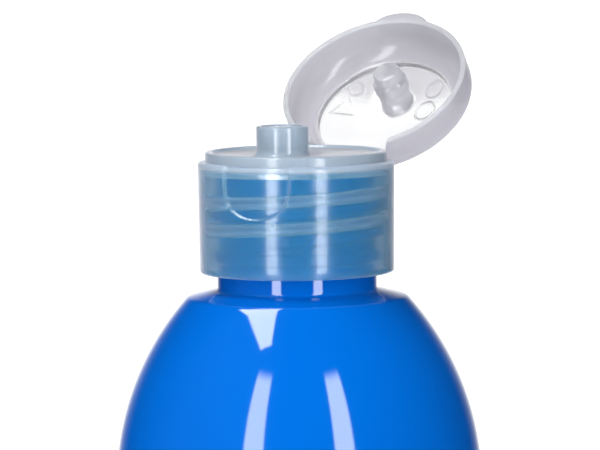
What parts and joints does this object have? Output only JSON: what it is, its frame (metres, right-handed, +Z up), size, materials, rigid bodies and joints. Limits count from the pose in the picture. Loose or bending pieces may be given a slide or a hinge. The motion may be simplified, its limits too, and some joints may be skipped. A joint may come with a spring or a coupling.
{
  "type": "shampoo bottle",
  "caption": "Round squeeze bottle with a domed shoulder and a screw-on flip-top cap; the hinged lid stands open and its plug seals a small spout when closed.",
  "frame": {"origin": "Centre of the ring the bottle stands on, on the floor.", "axes": "+Z runs up the bottle axis. -Y is the thumb side, with the thumb recess and the spout nearer to it. +Y is the hinge side, where the open lid stands out. +X is the bottle's right, seen from the thumb side."},
  "size_m": [0.0578, 0.0737, 0.1557],
  "materials": {
    "blue_polyethylene": "glossy blow-moulded, opaque",
    "natural_polypropylene": "glossy, translucent",
    "liner_foam": "closed-cell foam"
  },
  "bodies": {
    "bottle": {"bottle": "blue_polyethylene"},
    "liner": {"seal_liner": "liner_foam"},
    "cap": {"cap_base": "natural_polypropylene", "spout": "natural_polypropylene", "hinge_leaf_left": "natural_polypropylene", "hinge_leaf_right": "natural_polypropylene"},
    "lid": {"lid_shell": "natural_polypropylene", "lid_plug": "natural_polypropylene", "thumb_tab": "natural_polypropylene", "lid_leaf_left": "natural_polypropylene", "lid_leaf_right": "natural_polypropylene"}
  },
  "joints": [
    {"name": "cap_lift", "type": "slide", "parent": "bottle", "child": "liner", "axis": [0, 0, 1], "range_m": [0, 0.00635]},
    {"name": "cap_spin", "type": "hinge", "parent": "liner", "child": "cap", "pos_m": [0, 0, 0.1167], "axis": [0, 0, 1], "range_deg": [0, 540]},
    {"name": "lid_hinge", "type": "hinge", "parent": "cap", "child": "lid", "pos_m": [0, 0.0168, 0.13415], "axis": [-1, 0, 0], "range_deg": [-140, 25]}
  ],
  "couplings": [
    {"joint": "cap_lift", "follows": "cap_spin", "m_per_rad": 0.0006737}
  ]
}
